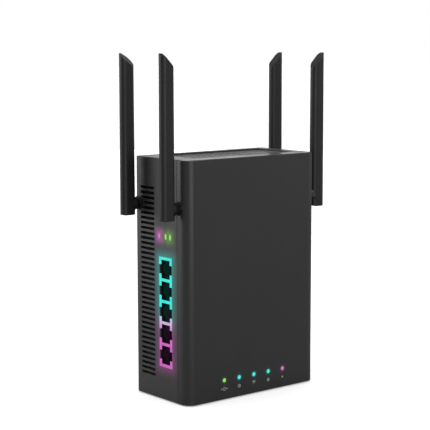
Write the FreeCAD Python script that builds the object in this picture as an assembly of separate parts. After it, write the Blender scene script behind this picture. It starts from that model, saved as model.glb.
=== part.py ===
"""Upright wifi range extender: slim case, five network sockets on its left side, four swivelling antennas.

Millimetres. Origin at the centre of the base, on the surface that the feet stand on.
+X is to the right, +Y to the rear and +Z up. The front face looks along -Y.
"""
import FreeCAD
import Part
import math
import os

V = FreeCAD.Vector

# Case
WIDTH = 110.0
DEPTH = 56.0
HEIGHT = 157.0
WALL = 2.0
FRONT_RADIUS = 7.0
REAR_RADIUS = 4.0
EDGE_ROUND = 0.8
FOOT_STAND = 0.8
SEAM_BACK = 10.7
SEAM_GAP = 0.3
TONGUE = 1.2
TONGUE_REACH = (-2.5, 2.0)
TONGUE_HINGE_ROOM = 0.8
SIDE_X = WIDTH / 2
FRONT_Y = -DEPTH / 2
REAR_Y = DEPTH / 2
SEAM_Y = FRONT_Y + SEAM_BACK
BASE_PLATE = 2.0
FLOOR_TOP = FOOT_STAND + BASE_PLATE

# Top recess and its grille
RECESS_X = (-39.0, 47.0)
RECESS_Y = (-15.0, 22.5)
GRILLE_THICK = 1.8
GRILLE_RAISE = 0.8
GRILLE_GAP = 0.15
GRILLE_LAP = 2.0
GRILLE_FRONT_LAP = 1.1
GRILLE_SLOT = (2.0, 13.0)
GRILLE_PITCH = 5.0
GRILLE_ROW_SHIFT = 8.5
GRILLE_MARGIN = 3.0

# Air slots in the base
BASE_SLOT_COUNT = 9
BASE_SLOT_PITCH = 6.0
BASE_SLOT = (2.0, 18.0)

# Side vents
VENT_COUNT = 38
VENT_FIRST_Z = 15.2
VENT_PITCH = 3.3
VENT_HEIGHT = 1.75
VENT_Y = (6.4, 21.1)

# Antenna hinges and antennas
HINGE_Z = 126.5
HINGE_FRONT_Y = FRONT_Y + 9.2
HINGE_REAR_Y = REAR_Y - 4.8
NECK_RADIUS = 3.5
NECK_RUNNING_CLEARANCE = 0.05
NECK_BORE = 1.3
NECK_END = -4.8
FLARE_RADIUS = 4.4
FLARE_LENGTH = 1.7
BUSHING_RADIUS = 4.1
BUSHING_FLANGE_RADIUS = 4.4
BUSHING_FLANGE = 1.4
BUSHING_ROUND = 0.7
BUSHING_END = -3.5
PAD_RADIUS = 4.8
PAD_END = -3.3
CLIP_GAP = 0.3
CLIP_THICK = 0.5
CLIP_RADIUS = 4.0
CLIP_MOUTH = 3.2
CLIP_POCKET_RADIUS = 4.2
CLIP_POCKET_END = -8.0
GROOVE_RADIUS = 2.5
BLADE_CENTRE = 8.8
BLADE_WIDTH = 9.8
BLADE_FLARE = 0.25
BLADE_DEPTH = 6.4
BLADE_ROUND = 3.1
BLADE_BELOW = 7.2
BLADE_ABOVE = 97.0
TIP_SLOPE = 45.0
TIP_ROUND = 0.3
SHOULDER_ROUND = 5.0
HEEL_ROUND_INNER = 2.4
HEEL_ROUND_OUTER = 1.6
CAVITY_WIDTH = 3.2
CAVITY_BACK = 2.2
CAVITY_Z = (-1.8, 79.5)
COVER_WIDTH = 4.0
COVER_THICK = 1.0
COVER_Z = (-2.5, 80.5)
ELEMENT_Z = (8.0, 74.0)
ELEMENT_THICK = 0.8
ELEMENT_PADS = ((10.0, 30.0), (33.0, 52.0), (55.0, 72.0))
ELEMENT_PAD_THICK = 0.2
ELEMENT_PAD_INSET = 0.5
# Turn of each tip's slanted cut from inwards towards the front, in degrees
TIP_TURNS = {"front_left": 0.0, "front_right": 0.0, "rear_left": 57.0, "rear_right": 0.0}

# Network sockets
PORT_COUNT = 5
PORT_PITCH = 13.97
PORT_FIRST_Z = 30.1
PORT_Y = FRONT_Y + 22.9
PORT_WIDTH = 8.8
PORT_DIVIDER = 1.9
PORT_HEIGHT = PORT_PITCH - PORT_DIVIDER
PORT_DEPTH = 14.0
BRACKET_WIDTH = 13.3
BRACKET_HEIGHT = 7.9
NOTCH_WIDTH = BRACKET_WIDTH - 0.2
NOTCH_HEIGHT = PORT_PITCH - BRACKET_HEIGHT
NOTCH_DEPTH = 3.0
GUIDE_THICK = 1.4
GUIDE_MARGIN = 1.6
JACK_FRONT_X = -SIDE_X + WALL + GUIDE_THICK + 0.1
JACK_LENGTH = 15.6
JACK_Y = (-12.9, 2.0)
JACK_END_WALL = 0.9
SHIELD_SETBACK = 0.4
SHIELD_THICK = 0.3
CONTACT_COUNT = 8
CONTACT_PITCH = 1.02
CONTACT_THICK = 0.35
CONTACT_ROOT = 2.0
CONTACT_LENGTH = 8.0
CONTACT_DROP = 1.5
TRANSFORMER_SIZE = (9.0, 5.2, 11.2)
TRANSFORMER_GAP = 3.0

# Lights
FRONT_LIGHT_COUNT = 5
FRONT_LIGHT_PITCH = 12.6
FRONT_LIGHT_Z = 13.4
FRONT_LIGHT_RADIUS = 1.4
SIDE_LIGHT_Z = 107.2
SIDE_LIGHT_BACK = (29.3, 22.5, 17.9)
SIDE_LIGHT_WIDTH = 1.8
SIDE_LIGHT_HEIGHT = 3.6
SIDE_LENS_LENGTH = 4.5
FRONT_LENS_LENGTH = 4.5
LENS_FLANGE = 0.7
LENS_FLANGE_THICK = 0.8
LIGHT_CHIP = (1.8, 0.7, 1.4)
LIGHT_BOARD_THICK = 1.0
LIGHT_BOARD_HEIGHT = 8.0
LIGHT_BOARD_MARGIN = 6.0
LIGHT_POST_RADIUS = 1.2

# Circuit board and what stands on it
BOARD_X = (-50.0, 47.0)
BOARD_Z = (9.0, 119.0)
BOARD_Y = 2.0
BOARD_THICK = 1.6
BOARD_BACK = BOARD_Y + BOARD_THICK
BOARD_SCREWS = ((-46.0, 114.0), (-46.0, 13.5), (41.0, 114.0), (38.0, 13.5))
BOARD_HOLE_RADIUS = 1.3
BOARD_POST_RADIUS = 3.0
BOARD_PILOT = (1.05, 7.0)
BOARD_SCREW = (1.0, 7.5)
BOARD_SCREW_HEAD = (2.1, 1.4)
CHIP_CENTRE = (4.0, 66.0)
CHIP_SIZE = 15.0
CHIP_THICK = 1.6
PAD_THICK = 0.8
SINK_SIZE = 34.0
SINK_BASE = 2.5
SINK_FIN = 7.5
SINK_FIN_COUNT = 8
SINK_FIN_THICK = 1.2
CAN_SIZE = (24.0, 17.0, 3.4)
CAN_WALL = 0.4
CAN_CENTRES = ((-16.0, 102.0), (22.0, 102.0))
CAPACITORS = ((22.0, 22.0, 4.0, 10.5), (22.0, 33.0, 4.0, 10.5), (12.0, 24.0, 3.15, 8.0))
CAPACITOR_ROUND = 0.5

# Right side: power inlet and buttons
INLET_Z = 24.0
CONTROL_Y = -3.6
INLET_BORE = 3.1
INLET_WALL = 1.2
INLET_BACK = 2.0
INLET_PIN = 1.0
INLET_PIN_RECESS = 1.5
INLET_PIN_ROUND = 0.4
INLET_SIZE = 11.0
INLET_LENGTH = 12.5
BUTTON_TRAVEL = 0.5
BUTTON_GAP = 0.25
BUTTONS = (("power_button", 44.0, 3.4), ("wps_button", 58.0, 2.6))
BUTTON_STAND = 0.6
BUTTON_FLANGE = 0.8
BUTTON_FLANGE_THICK = 0.6
BUTTON_ROUND = 0.35
SWITCH_SIZE = 6.0
SWITCH_GAP = 0.2
PLUNGER_RADIUS = 1.6
PLUNGER_LENGTH = 1.6

# Screws and feet
CASE_SCREW_X = 44.0
CASE_SCREW_FRONT_Y = -22.4
CASE_SCREW_REAR_Y = 22.4
CASE_SCREW_RADIUS = 1.25
CASE_SCREW_HEAD = 2.6
CASE_SCREW_HEAD_THICK = 1.2
CASE_SCREW_LENGTH = 9.0
CASE_SCREW_RECESS = (1.0, 0.8)
CASE_SCREW_SUNK = 0.1
BOSS_RADIUS = 3.9
BOSS_TOP = 14.0
FOOT_X = 34.0
FOOT_Y = 15.0
FOOT_RADIUS = 5.0
FOOT_SEAT = 0.8
FOOT_ROUND = 0.4

# Antenna leads
LEAD_RADIUS = 0.6
LEAD_BEND = 6.0
LEAD_START = 3.0
LEAD_STRAIGHT_END = -13.0
LEAD_DROP = 7.0
LEAD_SOCKET_X = 33.0
LEAD_SOCKET_Z = 113.5
LEAD_SOCKET_RADIUS = 1.4
LEAD_SOCKET_HEIGHT = 1.2

PARTS = {}


def box(x, y, z):
    """Block between the two values given for each direction."""
    low = V(min(x), min(y), min(z))
    return Part.makeBox(max(x) - low.x, max(y) - low.y, max(z) - low.z, low)


def rod(radius, start, end):
    """Cylinder from one point to another."""
    start, end = V(*start), V(*end)
    axis = end.sub(start)
    return Part.makeCylinder(radius, axis.Length, start, axis)


def ring(outer, inner, start, end):
    """Tube from one point to another."""
    return rod(outer, start, end).cut(rod(inner, start, end))


def rod_across(radius, x, y, z):
    """Cylinder along X between the two values of x."""
    return rod(radius, (x[0], y, z), (x[1], y, z))


def fused(shapes):
    """One shape made of several that touch or overlap."""
    return shapes[0].multiFuse(shapes[1:]).removeSplitter()


def mirrored(shape):
    """The same shape on the other side of the case's middle plane."""
    return shape.mirror(V(0, 0, 0), V(1, 0, 0))


def rounded_wire(corners):
    """Closed wire in a plane: straight runs joined by arcs. Each corner is its point and its radius."""
    runs = []
    count = len(corners)
    for i, (point, radius) in enumerate(corners):
        before = corners[i - 1][0].sub(point).normalize()
        after = corners[(i + 1) % count][0].sub(point).normalize()
        half = before.getAngle(after) / 2
        reach = radius / math.tan(half)
        middle = before.add(after).normalize()
        centre = point.add(middle.multiply(radius / math.sin(half)))
        apex = point.sub(centre).normalize().multiply(radius).add(centre)
        runs.append((point.add(before.multiply(reach)), apex, point.add(after.multiply(reach))))
    edges = []
    for i, (start, apex, end) in enumerate(runs):
        edges.append(Part.Arc(start, apex, end).toShape())
        edges.append(Part.makeLine(end, runs[(i + 1) % count][0]))
    return Part.Wire(edges)


def case_block(inset, z):
    """The case's plan outline, moved inwards by inset, between two heights."""
    x = SIDE_X - inset
    y = REAR_Y - inset
    front = max(FRONT_RADIUS - inset, 0.5)
    rear = max(REAR_RADIUS - inset, 0.5)
    corners = [
        (V(-x, -y, z[0]), front),
        (V(x, -y, z[0]), front),
        (V(x, y, z[0]), rear),
        (V(-x, y, z[0]), rear),
    ]
    return Part.Face(rounded_wire(corners)).extrude(V(0, 0, z[1] - z[0]))


def hinges():
    """The four hinge points: name, side (-1 left, +1 right) and Y."""
    for depth_name, y in (("front", HINGE_FRONT_Y), ("rear", HINGE_REAR_Y)):
        for side_name, side in (("left", -1), ("right", 1)):
            yield f"{depth_name}_{side_name}", side, y


def placed(shape, side, y):
    """Moves a shape made at a hinge point with +X outwards to its place on the case."""
    moved = shape.translated(V(SIDE_X, y, HINGE_Z))
    return moved if side > 0 else mirrored(moved)


def hinge_pads():
    """Round pads that give each hinge bushing a flat seat and a deep hole."""
    pad = rod_across(PAD_RADIUS, (PAD_END, 0), 0, 0)
    return [placed(pad, side, y) for _, side, y in hinges()]


def hinge_holes():
    """Holes for the hinge bushings."""
    hole = rod_across(BUSHING_RADIUS, (PAD_END - 1, 1), 0, 0)
    return [placed(hole, side, y) for _, side, y in hinges()]


def clip_pockets():
    """Room for the rear necks' clips in the inner face of the rear wall."""
    pocket = rod_across(CLIP_POCKET_RADIUS, (CLIP_POCKET_END, PAD_END), 0, 0)
    return [placed(pocket, side, y) for _, side, y in hinges() if y > 0]


def port_centres():
    """Heights of the five socket centres."""
    return [PORT_FIRST_Z + i * PORT_PITCH for i in range(PORT_COUNT)]


def port_openings(x, notch_x):
    """Socket openings with a notch on both sides at mid-height."""
    shapes = []
    for z in port_centres():
        half = PORT_HEIGHT / 2
        shapes.append(box(x, (PORT_Y - PORT_WIDTH / 2, PORT_Y + PORT_WIDTH / 2), (z - half, z + half)))
        notch_y = (PORT_Y - NOTCH_WIDTH / 2, PORT_Y + NOTCH_WIDTH / 2)
        shapes.append(box(notch_x, notch_y, (z - NOTCH_HEIGHT / 2, z + NOTCH_HEIGHT / 2)))
    return shapes


def bracket_ribs(x):
    """The light guide's ribs: one bar between each two sockets, with legs up and down at both ends."""
    shapes = []
    outer = BRACKET_WIDTH / 2
    inner = PORT_WIDTH / 2
    first = PORT_FIRST_Z - PORT_PITCH / 2
    last = PORT_FIRST_Z + (PORT_COUNT - 0.5) * PORT_PITCH
    for i in range(PORT_COUNT + 1):
        z = first + i * PORT_PITCH
        low = z - PORT_DIVIDER / 2 if i == 0 else z - BRACKET_HEIGHT / 2
        high = last + PORT_DIVIDER / 2 if i == PORT_COUNT else z + BRACKET_HEIGHT / 2
        bar_z = (z - PORT_DIVIDER / 2, z + PORT_DIVIDER / 2)
        shapes.append(box(x, (PORT_Y - inner, PORT_Y + inner), bar_z))
        shapes.append(box(x, (PORT_Y - outer, PORT_Y - inner), (low, high)))
        shapes.append(box(x, (PORT_Y + inner, PORT_Y + outer), (low, high)))
    return shapes


def side_light_places():
    """Y of each light on the left side."""
    return [FRONT_Y + back for back in SIDE_LIGHT_BACK]


def front_light_places():
    """X of each light on the front face."""
    middle = (FRONT_LIGHT_COUNT - 1) / 2
    return [(i - middle) * FRONT_LIGHT_PITCH for i in range(FRONT_LIGHT_COUNT)]


def light_window(y, x):
    """Window for one side light."""
    half = SIDE_LIGHT_WIDTH / 2
    height = SIDE_LIGHT_HEIGHT / 2
    return box(x, (y - half, y + half), (SIDE_LIGHT_Z - height, SIDE_LIGHT_Z + height))


def case_shell():
    """Whole outer shell, open at the bottom, before it is split at the seam."""
    outer = case_block(0, (FOOT_STAND, HEIGHT))
    rim = [e for e in outer.Edges if e.BoundBox.ZMin > HEIGHT - 0.01]
    outer = outer.makeFillet(EDGE_ROUND, rim)
    return outer.cut(case_block(WALL, (0, HEIGHT - WALL)))


def half_space(y):
    """Block that covers the case between two Y values."""
    return box((-SIDE_X - 5, SIDE_X + 5), y, (-5, HEIGHT + 5))


def screw_bosses(y):
    """Two bosses that the case screws go into from below."""
    shapes = []
    for x in (-CASE_SCREW_X, CASE_SCREW_X):
        shapes.append(rod(BOSS_RADIUS, (x, y, FLOOR_TOP), (x, y, BOSS_TOP)))
    return shapes


def screw_pilots(y):
    """Pilot holes in the bosses."""
    return [
        rod(CASE_SCREW_RADIUS + 0.05, (x, y, 0), (x, y, BOSS_TOP - 1))
        for x in (-CASE_SCREW_X, CASE_SCREW_X)
    ]


def make_front_cover(shell):
    """Front face and front corners, with the light windows and one side of the front hinge seats."""
    front = half_space((FRONT_Y - 5, SEAM_Y - SEAM_GAP / 2))
    bosses = [b.common(case_block(WALL / 2, (0, HEIGHT))) for b in screw_bosses(CASE_SCREW_FRONT_Y)]
    solid = fused([shell.common(front)] + [p.common(front) for p in hinge_pads()[:2]] + bosses)
    cuts = hinge_holes()[:2] + screw_pilots(CASE_SCREW_FRONT_Y)
    for x in front_light_places():
        y = (FRONT_Y - 1, FRONT_Y + WALL + 1)
        cuts.append(rod(FRONT_LIGHT_RADIUS, (x, y[0], FRONT_LIGHT_Z), (x, y[1], FRONT_LIGHT_Z)))
    return solid.cut(Part.makeCompound(cuts))


def seam_tongue():
    """Tongue on the rear housing that closes the seam from inside."""
    outer = case_block(WALL, (FLOOR_TOP, HEIGHT - WALL))
    inner = case_block(WALL + TONGUE, (0, HEIGHT - WALL - TONGUE))
    tongue = outer.cut(inner).common(half_space((SEAM_Y + TONGUE_REACH[0], SEAM_Y + TONGUE_REACH[1])))
    room = PAD_RADIUS + TONGUE_HINGE_ROOM
    clear_z = (HINGE_Z - room, HINGE_Z + room)
    return tongue.cut(box((-SIDE_X, SIDE_X), (SEAM_Y - 5, SEAM_Y + 5), clear_z))


def vent_slots():
    """One column of slots through both side walls."""
    slots = []
    for i in range(VENT_COUNT):
        z = VENT_FIRST_Z + i * VENT_PITCH
        slots.append(box((-SIDE_X - 1, SIDE_X + 1), VENT_Y, (z - VENT_HEIGHT / 2, z + VENT_HEIGHT / 2)))
    return slots


def board_posts():
    """Posts from the rear wall that hold the circuit board."""
    return [rod(BOARD_POST_RADIUS, (x, BOARD_BACK, z), (x, REAR_Y - WALL / 2, z)) for x, z in BOARD_SCREWS]


def board_post_pilots():
    """Pilot holes in the posts."""
    radius, depth = BOARD_PILOT
    return [rod(radius, (x, BOARD_BACK - 1, z), (x, BOARD_BACK + depth, z)) for x, z in BOARD_SCREWS]


def make_rear_housing(shell):
    """Sides, back and top, with vents, socket openings, lights, controls and hinge seats."""
    rear = half_space((SEAM_Y + SEAM_GAP / 2, REAR_Y + 5))
    outer_wall = (-SIDE_X - 1, -SIDE_X + WALL + 1)
    right_wall = (SIDE_X - WALL - 1, SIDE_X + 1)
    cuts = vent_slots()
    cuts.append(box(RECESS_X, RECESS_Y, (HEIGHT - WALL - 1, HEIGHT + 1)))
    cuts += port_openings(outer_wall, outer_wall)
    cuts += bracket_ribs(outer_wall)
    cuts += [light_window(y, outer_wall) for y in side_light_places()]
    cuts.append(rod_across(INLET_BORE + INLET_WALL, right_wall, CONTROL_Y, INLET_Z))
    cuts += [rod_across(r + BUTTON_GAP, right_wall, CONTROL_Y, z) for _, z, r in BUTTONS]
    solid = shell.common(rear).cut(Part.makeCompound(cuts))
    bosses = [b.common(case_block(WALL / 2, (0, HEIGHT))) for b in screw_bosses(CASE_SCREW_REAR_Y)]
    pads = [p.common(rear) for p in hinge_pads()]
    tongue = seam_tongue().cut(Part.makeCompound(screw_bosses(CASE_SCREW_FRONT_Y)))
    solid = fused([solid, tongue] + pads + bosses + board_posts())
    holes = hinge_holes() + clip_pockets() + screw_pilots(CASE_SCREW_REAR_Y) + board_post_pilots()
    return solid.cut(Part.makeCompound(holes))


def make_top_grille():
    """Slotted plate under the top opening; its raised middle is the floor of the recess."""
    x = (RECESS_X[0] - GRILLE_LAP, RECESS_X[1] + GRILLE_LAP)
    y = (RECESS_Y[0] - GRILLE_FRONT_LAP, RECESS_Y[1] + GRILLE_LAP)
    top = HEIGHT - WALL
    plate = box(x, y, (top - GRILLE_THICK, top))
    plate = plate.cut(box(x, (y[0] - 1, SEAM_Y + TONGUE_REACH[1]), (top - TONGUE, top + 1)))
    raised_x = (RECESS_X[0] + GRILLE_GAP, RECESS_X[1] - GRILLE_GAP)
    raised_y = (RECESS_Y[0] + GRILLE_GAP, RECESS_Y[1] - GRILLE_GAP)
    plate = fused([plate, box(raised_x, raised_y, (top - GRILLE_THICK, top + GRILLE_RAISE))])
    count = int((RECESS_X[1] - RECESS_X[0] - 2 * GRILLE_MARGIN) // GRILLE_PITCH)
    middle_x = sum(RECESS_X) / 2
    middle_y = sum(RECESS_Y) / 2
    width, length = GRILLE_SLOT
    slots = []
    for i in range(count):
        left = middle_x + (i - (count - 1) / 2) * GRILLE_PITCH - width / 2
        for slot_y in (middle_y - GRILLE_ROW_SHIFT, middle_y + GRILLE_ROW_SHIFT):
            span_y = (slot_y - length / 2, slot_y + length / 2)
            slots.append(box((left, left + width), span_y, (top - GRILLE_THICK - 1, HEIGHT)))
    return plate.cut(Part.makeCompound(slots))


def make_bottom_plate():
    """Plate that closes the case from below, with screw seats, foot seats and air slots."""
    plate = case_block(WALL + 0.1, (FOOT_STAND, FLOOR_TOP))
    cuts = []
    for x in (-CASE_SCREW_X, CASE_SCREW_X):
        for y in (CASE_SCREW_FRONT_Y, CASE_SCREW_REAR_Y):
            cuts.append(rod(CASE_SCREW_RADIUS + 0.15, (x, y, 0), (x, y, FLOOR_TOP + 1)))
            head_top = FOOT_STAND + CASE_SCREW_HEAD_THICK + CASE_SCREW_SUNK
            cuts.append(rod(CASE_SCREW_HEAD + 0.2, (x, y, 0), (x, y, head_top)))
    for x, y in foot_places():
        cuts.append(rod(FOOT_RADIUS, (x, y, 0), (x, y, FOOT_STAND + FOOT_SEAT)))
    width, length = BASE_SLOT
    for i in range(BASE_SLOT_COUNT):
        left = (i - (BASE_SLOT_COUNT - 1) / 2) * BASE_SLOT_PITCH - width / 2
        cuts.append(box((left, left + width), (-length / 2, length / 2), (0, FLOOR_TOP + 1)))
    return plate.cut(Part.makeCompound(cuts))


def foot_places():
    """X and Y of the four feet."""
    return [(-FOOT_X, -FOOT_Y), (FOOT_X, -FOOT_Y), (-FOOT_X, FOOT_Y), (FOOT_X, FOOT_Y)]


def make_foot(x, y):
    """Round rubber foot with a rounded lower edge."""
    foot = rod(FOOT_RADIUS, (x, y, 0), (x, y, FOOT_STAND + FOOT_SEAT))
    lower = [e for e in foot.Edges if e.BoundBox.ZMax < 0.01]
    return foot.makeFillet(FOOT_ROUND, lower)


def make_light_guide():
    """Clear carrier behind the wall with ribs that come through it around the sockets."""
    inner_x = -SIDE_X + WALL
    half_y = BRACKET_WIDTH / 2 + GUIDE_MARGIN
    low = PORT_FIRST_Z - PORT_PITCH / 2 - PORT_DIVIDER / 2 - GUIDE_MARGIN
    high = PORT_FIRST_Z + (PORT_COUNT - 0.5) * PORT_PITCH + PORT_DIVIDER / 2 + GUIDE_MARGIN
    carrier = box((inner_x, inner_x + GUIDE_THICK), (PORT_Y - half_y, PORT_Y + half_y), (low, high))
    ribs = bracket_ribs((-SIDE_X, inner_x + GUIDE_THICK / 2))
    span = (-SIDE_X - 1, inner_x + GUIDE_THICK + 1)
    return fused([carrier] + ribs).cut(Part.makeCompound(port_openings(span, span)))


def jack_z():
    """Lowest and highest height of the socket block."""
    low = PORT_FIRST_Z - PORT_PITCH / 2 - JACK_END_WALL
    return (low, low + PORT_COUNT * PORT_PITCH + 2 * JACK_END_WALL)


def make_jack_block():
    """Ganged socket moulding with five cavities that open to the left."""
    block = box((JACK_FRONT_X, JACK_FRONT_X + JACK_LENGTH), JACK_Y, jack_z())
    deep = (JACK_FRONT_X - 1, JACK_FRONT_X + PORT_DEPTH)
    shallow = (JACK_FRONT_X - 1, JACK_FRONT_X + NOTCH_DEPTH)
    return block.cut(Part.makeCompound(port_openings(deep, shallow)))


def make_jack_shield():
    """Folded metal cover around the socket block, open at the front and towards the board."""
    low, high = jack_z()
    t = SHIELD_THICK
    x = (JACK_FRONT_X + SHIELD_SETBACK, JACK_FRONT_X + JACK_LENGTH + t)
    outer = box(x, (JACK_Y[0] - t, BOARD_Y), (low - t, high + t))
    inner = box((x[0] - 1, x[1] - t), (JACK_Y[0], BOARD_Y + 1), (low, high))
    return outer.cut(inner)


def make_jack_contacts():
    """Eight sprung contact wires in each socket, fixed in the rear wall of the block."""
    back = JACK_FRONT_X + PORT_DEPTH
    top = PORT_Y - PORT_WIDTH / 2
    t = CONTACT_THICK
    root = back - CONTACT_ROOT
    tip = back - CONTACT_LENGTH
    start = top + 0.1
    outline = [
        V(back, start, 0),
        V(back, start + t, 0),
        V(root, start + t, 0),
        V(tip, top + CONTACT_DROP, 0),
        V(tip - 0.2, top + CONTACT_DROP - t, 0),
        V(root, start, 0),
    ]
    wire = Part.makePolygon(outline + outline[:1])
    contact = Part.Face(wire).extrude(V(0, 0, t))
    shapes = []
    for z in port_centres():
        for i in range(CONTACT_COUNT):
            offset = (i - (CONTACT_COUNT - 1) / 2) * CONTACT_PITCH - t / 2
            shapes.append(contact.translated(V(0, 0, z + offset)))
    return Part.makeCompound(shapes)


def make_transformers():
    """Column of line transformer blocks, one beside each socket."""
    x = JACK_FRONT_X + JACK_LENGTH + TRANSFORMER_GAP
    width, depth, height = TRANSFORMER_SIZE
    shapes = []
    for z in port_centres():
        shapes.append(box((x, x + width), (BOARD_Y - depth, BOARD_Y), (z - height / 2, z + height / 2)))
    return Part.makeCompound(shapes)


def make_front_lens(x):
    """Round light pipe with a flange behind the front wall."""
    inner = FRONT_Y + WALL
    back = FRONT_Y + FRONT_LENS_LENGTH
    body = rod(FRONT_LIGHT_RADIUS, (x, FRONT_Y, FRONT_LIGHT_Z), (x, back, FRONT_LIGHT_Z))
    flange_end = inner + LENS_FLANGE_THICK
    radius = FRONT_LIGHT_RADIUS + LENS_FLANGE
    flange = rod(radius, (x, inner, FRONT_LIGHT_Z), (x, flange_end, FRONT_LIGHT_Z))
    return fused([body, flange])


def make_front_light_board():
    """Narrow board behind the front lenses, on two posts, with a light chip behind each lens."""
    back = FRONT_Y + FRONT_LENS_LENGTH
    width, depth, height = LIGHT_CHIP
    y = (back + depth, back + depth + LIGHT_BOARD_THICK)
    half = (FRONT_LIGHT_COUNT - 1) / 2 * FRONT_LIGHT_PITCH + LIGHT_BOARD_MARGIN
    half_z = LIGHT_BOARD_HEIGHT / 2
    shapes = [box((-half, half), y, (FRONT_LIGHT_Z - half_z, FRONT_LIGHT_Z + half_z))]
    for x in front_light_places():
        chip_z = (FRONT_LIGHT_Z - height / 2, FRONT_LIGHT_Z + height / 2)
        shapes.append(box((x - width / 2, x + width / 2), (back, y[0]), chip_z))
    for x in (2 - half, half - 2):
        shapes.append(rod(LIGHT_POST_RADIUS, (x, FRONT_Y + WALL, FRONT_LIGHT_Z), (x, y[0], FRONT_LIGHT_Z)))
    return fused(shapes)


def make_side_lens(y):
    """Flat light bar that fills its window and has a flange behind the wall."""
    inner = -SIDE_X + WALL
    bar = light_window(y, (-SIDE_X, SIDE_LENS_LENGTH - SIDE_X))
    half_y = SIDE_LIGHT_WIDTH / 2 + LENS_FLANGE
    half_z = SIDE_LIGHT_HEIGHT / 2 + LENS_FLANGE
    flange_x = (inner, inner + LENS_FLANGE_THICK)
    flange = box(flange_x, (y - half_y, y + half_y), (SIDE_LIGHT_Z - half_z, SIDE_LIGHT_Z + half_z))
    return fused([bar, flange])


def make_main_board():
    """Upright circuit board with its four screw holes."""
    board = box(BOARD_X, (BOARD_Y, BOARD_BACK), BOARD_Z)
    holes = [rod(BOARD_HOLE_RADIUS, (x, BOARD_Y - 1, z), (x, BOARD_BACK + 1, z)) for x, z in BOARD_SCREWS]
    return board.cut(Part.makeCompound(holes))


def make_board_screws():
    """Pan-head screws that hold the board to its posts."""
    shapes = []
    head_radius, head_thick = BOARD_SCREW_HEAD
    radius, length = BOARD_SCREW
    for x, z in BOARD_SCREWS:
        head = rod(head_radius, (x, BOARD_Y - head_thick, z), (x, BOARD_Y, z))
        shank = rod(radius, (x, BOARD_Y, z), (x, BOARD_Y + length, z))
        shapes.append(fused([head, shank]))
    return Part.makeCompound(shapes)


def make_case_screws():
    """Four screws that hold the bottom plate, with a round recess in each head."""
    shapes = []
    low = FOOT_STAND + CASE_SCREW_SUNK
    recess_radius, recess_depth = CASE_SCREW_RECESS
    for x in (-CASE_SCREW_X, CASE_SCREW_X):
        for y in (CASE_SCREW_FRONT_Y, CASE_SCREW_REAR_Y):
            head = rod(CASE_SCREW_HEAD, (x, y, low), (x, y, low + CASE_SCREW_HEAD_THICK))
            shank = rod(CASE_SCREW_RADIUS, (x, y, low), (x, y, low + CASE_SCREW_LENGTH))
            recess = rod(recess_radius, (x, y, low - 1), (x, y, low + recess_depth))
            shapes.append(fused([head, shank]).cut(recess))
    return Part.makeCompound(shapes)


def square_on_board(centre, size, depth):
    """Square block on the board's front, between two distances from it."""
    half = size / 2
    x = (centre[0] - half, centre[0] + half)
    return box(x, (BOARD_Y - depth[1], BOARD_Y - depth[0]), (centre[1] - half, centre[1] + half))


def make_heat_sink():
    """Aluminium heat sink with upright fins."""
    start = CHIP_THICK + PAD_THICK
    shapes = [square_on_board(CHIP_CENTRE, SINK_SIZE, (start, start + SINK_BASE))]
    gap = (SINK_SIZE - SINK_FIN_THICK) / (SINK_FIN_COUNT - 1)
    y = (BOARD_Y - start - SINK_BASE - SINK_FIN, BOARD_Y - start - SINK_BASE)
    z = (CHIP_CENTRE[1] - SINK_SIZE / 2, CHIP_CENTRE[1] + SINK_SIZE / 2)
    for i in range(SINK_FIN_COUNT):
        x = CHIP_CENTRE[0] - SINK_SIZE / 2 + i * gap
        shapes.append(box((x, x + SINK_FIN_THICK), y, z))
    return fused(shapes)


def make_shield_cans():
    """Two folded metal cans over the radio circuits."""
    width, height, depth = CAN_SIZE
    t = CAN_WALL
    shapes = []
    for x, z in CAN_CENTRES:
        outer_x = (x - width / 2, x + width / 2)
        outer = box(outer_x, (BOARD_Y - depth, BOARD_Y), (z - height / 2, z + height / 2))
        inner_x = (x - width / 2 + t, x + width / 2 - t)
        inner = box(inner_x, (BOARD_Y - depth + t, BOARD_Y + 1), (z - height / 2 + t, z + height / 2 - t))
        shapes.append(outer.cut(inner))
    return Part.makeCompound(shapes)


def make_capacitors():
    """Three upright capacitors of the power supply."""
    shapes = []
    for x, z, radius, height in CAPACITORS:
        can = rod(radius, (x, BOARD_Y - height, z), (x, BOARD_Y, z))
        top = [e for e in can.Edges if e.BoundBox.YMax < BOARD_Y - height + 0.01]
        shapes.append(can.makeFillet(CAPACITOR_ROUND, top))
    return Part.makeCompound(shapes)


def make_inlet():
    """Power inlet block with a round bore and a nose in the case wall."""
    inner = SIDE_X - WALL
    half = INLET_SIZE / 2
    z = (INLET_Z - half, INLET_Z + half)
    block = box((inner - INLET_LENGTH, inner), (CONTROL_Y - half, BOARD_Y), z)
    nose = rod_across(INLET_BORE + INLET_WALL, (inner - 1, SIDE_X), CONTROL_Y, INLET_Z)
    bore = rod_across(INLET_BORE, (inner - INLET_LENGTH + INLET_BACK, SIDE_X + 1), CONTROL_Y, INLET_Z)
    return fused([block, nose]).cut(bore)


def make_inlet_pin():
    """Centre pin of the power inlet."""
    inner = SIDE_X - WALL
    end = SIDE_X - INLET_PIN_RECESS
    pin = rod_across(INLET_PIN, (inner - INLET_LENGTH + INLET_BACK, end), CONTROL_Y, INLET_Z)
    tip = [e for e in pin.Edges if e.BoundBox.XMin > end - 0.01]
    return pin.makeFillet(INLET_PIN_ROUND, tip)


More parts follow.
